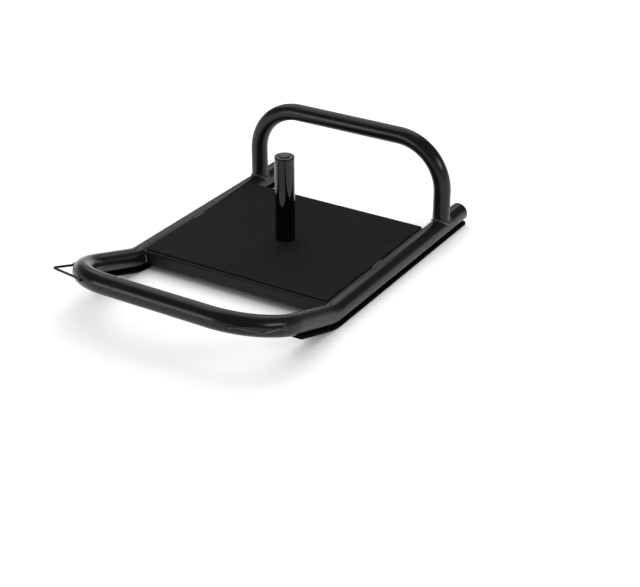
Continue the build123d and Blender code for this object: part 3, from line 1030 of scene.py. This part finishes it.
class SLED_OT_tow_rings(bpy.types.Operator):
    """Bends the two tow rings and welds them to the front corners"""

    bl_idname = "drag_sled.tow_rings"
    bl_label = "Tow rings"

    def execute(self, context):
        tubes = context.scene.sled_tubes
        sizes = context.scene.sled_fittings
        places = plan(context.scene)
        foot_radius = tubes.corner_bend + places.radius + sizes.ring_gap + sizes.ring_rod / 2
        tip_x = tubes.corner_bend + places.radius + sizes.ring_reach - sizes.ring_rod / 2 - sizes.ring_tip
        sharp_tip_x = tip_x + sizes.ring_tip / math.sin(sizes.ring_leg_angle)
        leg_offset = sharp_tip_x * math.sin(sizes.ring_leg_angle) + sizes.ring_flare
        flare_distance = foot_radius + sizes.ring_flare
        leg_turn = math.acos(leg_offset / flare_distance)
        bend = SimpleNamespace(
            foot_radius=foot_radius,
            tip=X_AXIS * tip_x,
            leg_turn=leg_turn,
            leg_length=sharp_tip_x * math.cos(sizes.ring_leg_angle) - flare_distance * math.sin(leg_turn)
            - sizes.ring_tip / math.tan(sizes.ring_leg_angle),
            foot_start=math.pi / 2 - sizes.ring_leg_angle - leg_turn,
            foot_turn=sizes.ring_foot / foot_radius,
            flare_distance=flare_distance,
        )
        for side, sign in SIDES.items():
            place = self.ring_plane(tubes, sizes, places, sign, foot_radius)
            mesh = self.bend_rod(sizes, bend)
            mesh.transform(place)
            show(mesh, "tow_ring_rod_" + side, "frame_powder_coat", ["tow_ring_" + side])
            mesh = self.weld_feet(sizes, bend)
            mesh.transform(place)
            show(
                mesh, "tow_ring_bead_" + side, "bead_powder_coat", ["tow_ring_weld_" + side], SOFT_CREASE
            )
        return {"FINISHED"}

    def bend_rod(self, sizes, bend):
        """A V of rod, drawn flat round the corner bend's centre: foot, flare, leg, tip and back."""
        leg = round_z(bend.leg_length, sizes.ring_leg_angle)
        leg_back = other_side(leg)
        tip_turn = math.pi - 2 * sizes.ring_leg_angle
        flare_centre = round_z(bend.flare_distance, bend.foot_start)
        first_flare_centre = round_z(bend.flare_distance, -bend.foot_start)
        start = round_z(bend.foot_radius, -bend.foot_start - bend.foot_turn)
        mesh = bmesh.new()
        edges = draw_ring(mesh, start, Z_AXIS.cross(start), sizes.ring_rod / 2, sides=24)
        bmesh.ops.contextual_create(mesh, geom=edges)
        edges = turn_round(mesh, edges, ORIGIN, Z_AXIS, bend.foot_turn, steps=6)
        edges = turn_round(mesh, edges, first_flare_centre, -Z_AXIS, bend.leg_turn, steps=10)
        edges = pull(mesh, edges, leg)
        edges = turn_round(mesh, edges, bend.tip, Z_AXIS, tip_turn, steps=16)
        edges = pull(mesh, edges, leg_back)
        edges = turn_round(mesh, edges, flare_centre, -Z_AXIS, bend.leg_turn, steps=10)
        edges = turn_round(mesh, edges, ORIGIN, Z_AXIS, bend.foot_turn, steps=6)
        bmesh.ops.contextual_create(mesh, geom=edges)
        return mesh

    def weld_feet(self, sizes, bend):
        """A bead above and below each foot, in the corner between the rod and the tube."""
        middle = bend.foot_start + bend.foot_turn / 2
        turn = sizes.ring_bead / bend.foot_radius
        radius = bend.foot_radius - sizes.ring_rod / 2 + 0.6 * MM
        rise = 2.3 * MM
        mesh = bmesh.new()
        for foot in (middle, -middle):
            for height in (-rise, rise):
                def run(at, foot=foot, height=height):
                    return round_z(radius, foot + (at - 0.5) * turn) + Z_AXIS * height

                def outward(at, foot=foot):
                    return round_z(1, foot + (at - 0.5) * turn)

                lay_bead(mesh, run, outward, sizes.ring_bead_radius, ripples=4)
        return mesh

    def ring_plane(self, tubes, sizes, places, sign, foot_radius):
        """The ring's plane round the middle of a corner bend, with X pointing out of the corner."""
        inward = Vector((-1, 0, 0))
        centre = places.front + (inward - places.forward) * tubes.corner_bend
        x_axis = (places.forward - inward).normalized()
        z_axis = inward.cross(places.forward).normalized()
        y_axis = z_axis.cross(x_axis)
        loop = Matrix((x_axis, y_axis, z_axis)).transposed().to_4x4()
        loop.translation = centre
        lean = Matrix.Translation((foot_radius, 0, sizes.ring_lift))
        lean @= Matrix.Rotation(-sizes.ring_tilt, 4, "Y") @ Matrix.Rotation(sizes.ring_roll, 4, "X")
        lean @= Matrix.Translation((-foot_radius, 0, 0))
        return Matrix.Diagonal((sign, 1, 1, 1)) @ loop @ lean


class SLED_OT_skids(bpy.types.Operator):
    """Cuts the wear skids, bends them to the rails and screws them on"""

    bl_idname = "drag_sled.skids"
    bl_label = "Wear skids"

    def execute(self, context):
        sizes = context.scene.sled_fittings
        bend = context.scene.sled_tubes.slope_bend
        places = plan(context.scene)
        tangent = bend * math.tan(places.slope / 2)
        bend_start = places.turn.y + tangent
        bend_length = bend * places.slope
        past_turn = bend_start - bend_length + tangent
        front = past_turn - sizes.skid_slope
        first = places.rear.y - sizes.screw_margin
        last = plate_low.y + sizes.screw_margin
        screw_ys = [first + (last - first) * index / 3 for index in range(4)]
        screw_ys.append(past_turn - sizes.screw_on_slope)
        slices = 12
        for side, sign in SIDES.items():
            skid = self.cut_strip(sizes, places, skid_high.y, front, screw_ys)
            for step in range(1, slices):
                slice_flat(skid, Y_AXIS * (bend_start - bend_length * step / slices), Y_AXIS)
            screws = self.turn_screws(sizes, screw_ys)
            for mesh, name, finish_name, node in (
                (skid, "wear_skid_", "skid_moulding", "skid_"),
                (screws, "skid_fixings_", "zinc_plate", "skid_screws_"),
            ):
                self.bend_up(mesh, places, bend_start, bend)
                move(mesh, (sign * places.rear.x, 0, 0))
                show(mesh, name + side, finish_name, [node + side])
        return {"FINISHED"}

    def cut_strip(self, sizes, places, rear, front, screw_ys):
        """The strip before it is bent: rounded ends, soft rims, countersunk holes, a seat for the tube."""
        middle = (rear + front) / 2
        strip = draw_sheet(skid_high.x - skid_low.x, rear - front, Vector((0, middle, 0)))
        round_off(strip, strip.verts[:], sizes.skid_corner, "VERTICES", segments=10)
        raise_sheet(strip, sizes.skid_thickness + sizes.skid_seat)
        rims = [edge for edge in strip.edges if abs(edge.verts[0].co.z - edge.verts[1].co.z) < 0.1 * MM]
        round_off(strip, rims, sizes.skid_rim, "EDGES", segments=3)
        tube = bmesh.new()
        along_rail = Matrix.Translation((0, middle, places.rear.z)) @ Matrix.Rotation(math.pi / 2, 4, "X")
        bmesh.ops.create_cone(
            tube, cap_ends=True, segments=192, radius1=places.radius, radius2=places.radius,
            depth=(rear - front) * 1.2, matrix=along_rail,
        )
        strip = carve(strip, tube, "DIFFERENCE")
        holes = self.turn_countersunk(sizes, screw_ys, clearance=0.2 * MM, start=-2 * MM)
        return carve(strip, holes, "DIFFERENCE")

    def turn_countersunk(self, sizes, screw_ys, clearance, start):
        """A row of countersunk screws' outlines round upright axes, heads down, from a start height."""
        head = sizes.screw_head / 2 + clearance
        shank = sizes.screw / 2 + clearance
        mouth = sizes.screw_recess + 0.4 * MM
        neck = 3 * MM
        end = sizes.screw_recess + sizes.screw_length
        outline = [(0, start), (head, start), (head, mouth), (shank, neck), (shank, end), (0, end)]
        row = bmesh.new()
        data = bpy.data.meshes.new("countersunk")
        for y in screw_ys:
            part = turned(outline, [], round_radius=0, steps=48)
            move(part, (0, y, 0))
            tidy(part)
            part.to_mesh(data)
            part.free()
            row.from_mesh(data)
        bpy.data.meshes.remove(data)
        return row

    def turn_screws(self, sizes, screw_ys):
        """Countersunk screws with hexagon sockets."""
        corner = sizes.socket / math.sqrt(3)
        screws = self.turn_countersunk(sizes, screw_ys, clearance=0, start=sizes.screw_recess)
        sockets = bmesh.new()
        for y in screw_ys:
            bmesh.ops.create_cone(
                sockets, cap_ends=True, segments=6, radius1=corner, radius2=corner,
                depth=2 * sizes.socket_depth, matrix=Matrix.Translation((0, y, sizes.screw_recess)),
            )
        return carve(screws, sockets, "DIFFERENCE")

    def bend_up(self, mesh, places, bend_start, bend):
        """Wraps what lies ahead of the bend's start round the bend and up the slope."""
        for vert in mesh.verts:
            ahead = bend_start - vert.co.y
            if ahead <= 0:
                continue
            angle = min(ahead / bend, places.slope)
            beyond = ahead - bend * angle
            arm = bend + places.rear.z - vert.co.z
            y = bend_start - arm * math.sin(angle) - beyond * math.cos(angle)
            z = places.rear.z + bend - arm * math.cos(angle) + beyond * math.sin(angle)
            vert.co = Vector((vert.co.x, y, z))


PROPERTY_GROUPS = {
    "sled_tubes": TubeSizes,
    "sled_deck": DeckSizes,
    "sled_post": PostSizes,
    "sled_fittings": FittingSizes,
    "sled_finishes": Finishes,
    "sled_stage": StageSettings,
}
OPERATORS = (
    SLED_OT_stage,
    SLED_OT_tubes,
    SLED_OT_deck,
    SLED_OT_welds,
    SLED_OT_post,
    SLED_OT_rail_caps,
    SLED_OT_tow_rings,
    SLED_OT_skids,
)


class SLED_PT_panel(bpy.types.Panel):
    """Lists the steps and the sizes of the drag sled"""

    bl_label = "Drag sled"
    bl_space_type = "VIEW_3D"
    bl_region_type = "UI"
    bl_category = "Drag sled"

    def draw(self, context):
        for step in OPERATORS:
            self.layout.operator(step.bl_idname)
        for group in PROPERTY_GROUPS:
            values = getattr(context.scene, group)
            box = self.layout.box()
            for name in values.__annotations__:
                box.prop(values, name)


def register():
    for group_class in PROPERTY_GROUPS.values():
        bpy.utils.register_class(group_class)
    for name, group_class in PROPERTY_GROUPS.items():
        setattr(bpy.types.Scene, name, PointerProperty(type=group_class))
    for step in OPERATORS:
        bpy.utils.register_class(step)
    bpy.utils.register_class(SLED_PT_panel)


def unregister():
    bpy.utils.unregister_class(SLED_PT_panel)
    for step in reversed(OPERATORS):
        bpy.utils.unregister_class(step)
    for name, group_class in PROPERTY_GROUPS.items():
        delattr(bpy.types.Scene, name)
        bpy.utils.unregister_class(group_class)


def main():
    register()
    for step in OPERATORS:
        group, name = step.bl_idname.split(".")
        getattr(getattr(bpy.ops, group), name)()


if __name__ == "__main__":
    main()
